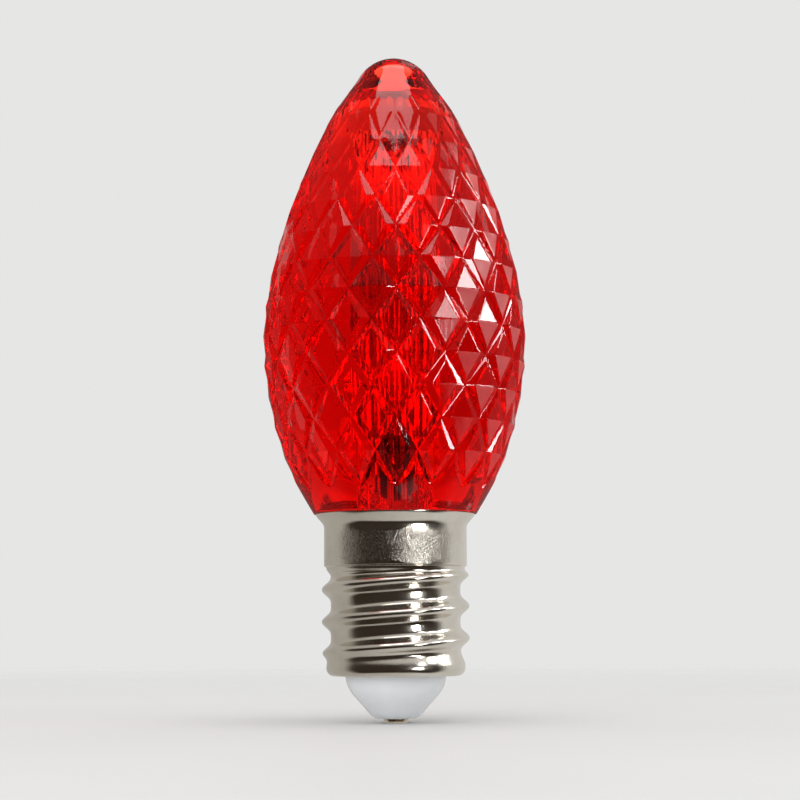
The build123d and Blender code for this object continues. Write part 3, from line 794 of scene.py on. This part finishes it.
dome_angle = math.degrees(math.atan2(dome_radius - dome_depth, dome_join_radius))
smooth_outline = arc(0, lens_tip_z - dome_radius, dome_radius, 90, dome_angle, dome_rows)
smooth_outline += flank[1:]
smooth_outline += [
    (spigot_radius, rim_top_z), (spigot_radius, lens_low.z + spigot_chamfer),
    (spigot_radius - spigot_chamfer, lens_low.z), (0, lens_low.z),
]
cut(lens, turned("smooth_lens", smooth_outline, lens_red, outline_steps), "INTERSECT")

bore_radius = 2.1 * mm
bore_top_z = lens_tip_z - 7.4 * mm
flute_count = 16
flute_radius = 0.22 * mm
flute_turn = math.radians(4.0)
flute_steps = 24
flute_end_z = rim_top_z + 6.6 * mm
bore_overlap = 0.02 * mm
pocket_radius = 4.2 * mm
pocket_top_z = rim_top_z + 0.3 * mm


def fluted_bar(name, bottom, top):
    """Closed bar with the section of the bore: a circle with small round flutes on it."""
    ring = []
    for i in range(flute_count * flute_steps):
        off = (i / flute_steps % 1 - 0.5) * 2 * math.pi / flute_count
        lift = flute_radius ** 2 - (bore_radius * math.sin(off)) ** 2
        reach = bore_radius
        if lift >= 0:
            reach = max(reach, bore_radius * math.cos(off) + math.sqrt(lift))
        turn = flute_turn + (i / flute_steps - 0.5) * 2 * math.pi / flute_count
        ring.append((reach * math.cos(turn), reach * math.sin(turn)))
    count = len(ring)
    mesh = bpy.data.meshes.new(name)
    mesh.from_pydata(
        [(x, y, z) for z in (bottom, top) for x, y in ring], [],
        [(i, (i + 1) % count, count + (i + 1) % count, count + i) for i in range(count)]
        + [tuple(range(count))[::-1], tuple(range(count, 2 * count))],
    )
    for face in mesh.polygons[:count]:
        face.use_smooth = True
    mesh.materials.append(lens_red)
    return as_object(name, mesh)


def round_bar(name, radius, top):
    """Closed round bar from below the lens up to a height."""
    bottom = lens_low.z - facet_relief
    return turned(name, [(0, bottom), (radius, bottom), (radius, top), (0, top)], lens_red)


cut(lens, fluted_bar("bore", flute_end_z, bore_top_z), "DIFFERENCE")
cut(lens, round_bar("bore_foot", bore_radius, flute_end_z + bore_overlap), "DIFFERENCE")
cut(lens, round_bar("pocket", pocket_radius, pocket_top_z), "DIFFERENCE")
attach(lens, "root")
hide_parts("faceted_lens")


# Cement: a ring of pale adhesive, applied between the spigot of the lens and the collar. It
# holds the two together.
cement = mottled(
    "cement", (0.86, 0.84, 0.80), (0.80, 0.77, 0.72), roughness=(0.2, 0.4),
    coarse=700.0, fine=3000.0, depth=0.02 * mm)
paint(cement, "lens_cement")


# Studio: a plain pale floor that fades into a pale backdrop. Metal mirrors pale walls at its
# sides and a dark front, and the clear plastic is lit through from above and below.
floor_radius = 0.5
floor_segments = 96
floor_fade = (0.05, 0.30)
floor_light = (0.685, 0.685, 0.685)
floor_dark = (0.675, 0.675, 0.675)
backdrop = (0.79, 0.79, 0.785)


def pale_floor():
    """Pale matt sheet that fades out towards its edge, and that metal and glass don't show."""
    material, tree, shader, end = start_material("pale_floor", floor_light, 0.6)
    cloud, _ = add_grain(tree, 30.0, 300.0)
    tint = colour_mix(tree, spread(tree, cloud, *cloud_span, 0.0, 1.0), floor_light, floor_dark)
    tree.links.new(tint, shader.inputs["Base Color"])
    place = wired(tree, "ShaderNodeTexCoord").outputs["Object"]
    away = wired(tree, "ShaderNodeVectorMath", {0: place}, operation="LENGTH").outputs["Value"]
    clear = wired(tree, "ShaderNodeBsdfTransparent").outputs[0]
    ray = wired(tree, "ShaderNodeLightPath").outputs
    bounced = calc(tree, "MAXIMUM", ray["Is Glossy Ray"], ray["Is Transmission Ray"])
    faded = calc(tree, "MAXIMUM", spread(tree, away, *floor_fade, 0.0, 1.0), bounced)
    fading = wired(tree, "ShaderNodeMixShader", {0: faded, 1: shader.outputs[0], 2: clear})
    tree.links.new(fading.outputs[0], end.inputs["Surface"])
    return material


floor_mesh = bpy.data.meshes.new("floor")
work = bmesh.new()
bmesh.ops.create_circle(work, cap_ends=True, radius=floor_radius, segments=floor_segments)
work.to_mesh(floor_mesh)
work.free()
floor_mesh.materials.append(pale_floor())
floor = as_object("floor", floor_mesh)

# Colours round the object by direction, for the metal and for the clear plastic. The edges
# between them are parts of a unit direction.
tent_colour = (0.85, 0.85, 0.84)
wall_left = (0.46, 0.44, 0.41)
wall_right = (0.68, 0.67, 0.65)
wall_edge = (-0.5, 0.5)
dark_front = (0.035, 0.025, 0.018)
dark_top_edge = (0.38, 0.56)
dark_foot_edge = (-0.86, -0.70)
dark_front_edge = (-0.25, 0.12)
dark_high_edge = (0.1, 0.3)
dark_high_share = 0.7
polished_dark = (0.02, 0.02, 0.02)
polished_dark_share = 0.8
through_left = (0.48, 0.48, 0.48)
through_right = (0.72, 0.72, 0.72)
through_edge = (-0.6, 0.6)
through_above = (1.3, 1.3, 1.3)
through_above_edge = (0.3, 0.8)
through_below = (2.6, 2.6, 2.6)
through_below_edge = (-0.7, -0.3)

world = bpy.data.worlds.new("studio")
bpy.context.scene.world = world
world.use_nodes = True
air = world.node_tree
air.nodes.clear()
direction = wired(air, "ShaderNodeTexCoord").outputs["Generated"]
side, ahead, up = wired(air, "ShaderNodeSeparateXYZ", {0: direction}).outputs
ray = wired(air, "ShaderNodeLightPath").outputs
polished = ray["Is Singular Ray"]
through = ray["Is Transmission Ray"]
mirrored = calc(air, "MULTIPLY", ray["Is Glossy Ray"], calc(air, "SUBTRACT", 1.0, through))

below_top = spread(air, up, *dark_top_edge, 1.0, 0.0)
above_foot = spread(air, up, *dark_foot_edge, 0.0, 1.0)
open_front = spread(air, ahead, *dark_front_edge, 1.0, 0.0)
high_band = calc(air, "MULTIPLY", spread(air, up, *dark_high_edge, 0.0, dark_high_share), polished)
level_band = calc(air, "MULTIPLY", below_top, above_foot)
dark = calc(air, "MULTIPLY", calc(air, "MAXIMUM", open_front, high_band), level_band)
walls = colour_mix(air, spread(air, side, *wall_edge, 0.0, 1.0), wall_left, wall_right)
walls = colour_mix(air, dark, walls, dark_front)
walls = colour_mix(air, calc(air, "MULTIPLY", polished, polished_dark_share), walls, polished_dark)

glow = colour_mix(air, spread(air, side, *through_edge, 0.0, 1.0), through_left, through_right)
glow = colour_mix(air, spread(air, up, *through_above_edge, 0.0, 1.0), glow, through_above)
glow = colour_mix(air, spread(air, up, *through_below_edge, 1.0, 0.0), glow, through_below)

tent = colour_mix(air, through, tent_colour, glow)
tent = colour_mix(air, mirrored, tent, walls)
sky = wired(air, "ShaderNodeBackground", {
    "Color": colour_mix(air, ray["Is Camera Ray"], tent, backdrop), "Strength": 1.0,
})
wired(air, "ShaderNodeOutputWorld", {"Surface": sky.outputs[0]})


# Lamps: three panels high on the right give the facets their glints, a card and a strip low on
# the right light the collar and the ridges, and a top panel and a front fill light the whole.
def soft_lamp(name, azimuth, elevation, distance, width, height, radiance, diffuse=True, glossy=True):
    """Area lamp that faces the middle of the object. Azimuth is from the front towards +X.

    Without diffuse it only shows in reflections and through glass, and without glossy it doesn't.
    """
    data = bpy.data.lights.new(name, "AREA")
    data.shape = "RECTANGLE"
    data.size, data.size_y = width, height
    data.energy = radiance * math.pi * width * height
    lamp = bpy.data.objects.new(name, data)
    a, e = math.radians(azimuth), math.radians(elevation)
    out = Vector((math.sin(a) * math.cos(e), -math.cos(a) * math.cos(e), math.sin(e)))
    lamp.location = Vector((0, 0, lens_tip_z / 2)) + out * distance
    lamp.rotation_mode = "QUATERNION"
    lamp.rotation_quaternion = out.to_track_quat("Z", "Y")
    lamp.visible_diffuse = diffuse
    lamp.visible_glossy = glossy
    lamp.visible_transmission = glossy
    lamp.visible_camera = False
    bpy.context.scene.collection.objects.link(lamp)
    return lamp


soft_lamp(
    "right_panel", azimuth=94.7, elevation=25.7, distance=1.2, width=0.244, height=0.389,
    radiance=18.0, diffuse=False)
soft_lamp(
    "side_panel", azimuth=70, elevation=31, distance=1.2, width=0.19, height=0.21,
    radiance=16.0, diffuse=False)
soft_lamp(
    "near_panel", azimuth=46.5, elevation=22.5, distance=1.2, width=0.168, height=0.168,
    radiance=8.0, diffuse=False)
soft_lamp(
    "top_panel", azimuth=0, elevation=79, distance=0.6, width=0.40, height=0.42,
    radiance=2.5)
soft_lamp(
    "right_card", azimuth=37, elevation=-4, distance=0.5, width=0.09, height=0.12,
    radiance=20.0, diffuse=False)
soft_lamp(
    "front_fill", azimuth=-15, elevation=12, distance=0.6, width=0.5, height=0.4,
    radiance=2.0, glossy=False)
ridge_strip = soft_lamp(
    "ridge_strip", azimuth=89, elevation=-5, distance=1.2, width=0.36, height=0.09,
    radiance=16.0, diffuse=False)
lens_alone = bpy.data.collections.new("lens_alone")
lens_alone.objects.link(lens)
ridge_strip.light_linking.receiver_collection = lens_alone


# Camera: level with the screw shell, a little off the middle, and pitched up, as the photograph
# was taken.
camera_distance = 167 * mm
camera_height = 7.3 * mm
camera_side = 0.42 * mm
focal_length = 94.0
nearest_seen = 0.01
pitch = math.radians(6.28)
roll = math.radians(-0.25)
camera_data = bpy.data.cameras.new("camera")
camera_data.lens = focal_length
camera_data.clip_start = nearest_seen
camera = bpy.data.objects.new("camera", camera_data)
camera.location = (camera_side, -camera_distance, camera_height)
camera.rotation_mode = "QUATERNION"
aimed = Euler((math.pi / 2 + pitch, 0, 0)).to_quaternion()
camera.rotation_quaternion = aimed @ Quaternion((0, 0, 1), roll)
bpy.context.scene.collection.objects.link(camera)
bpy.context.scene.camera = camera

bpy.context.scene.view_settings.view_transform = "Standard"
bpy.context.scene.cycles.max_bounces = 24
bpy.context.scene.cycles.transmission_bounces = 24
bpy.context.scene.cycles.glossy_bounces = 12
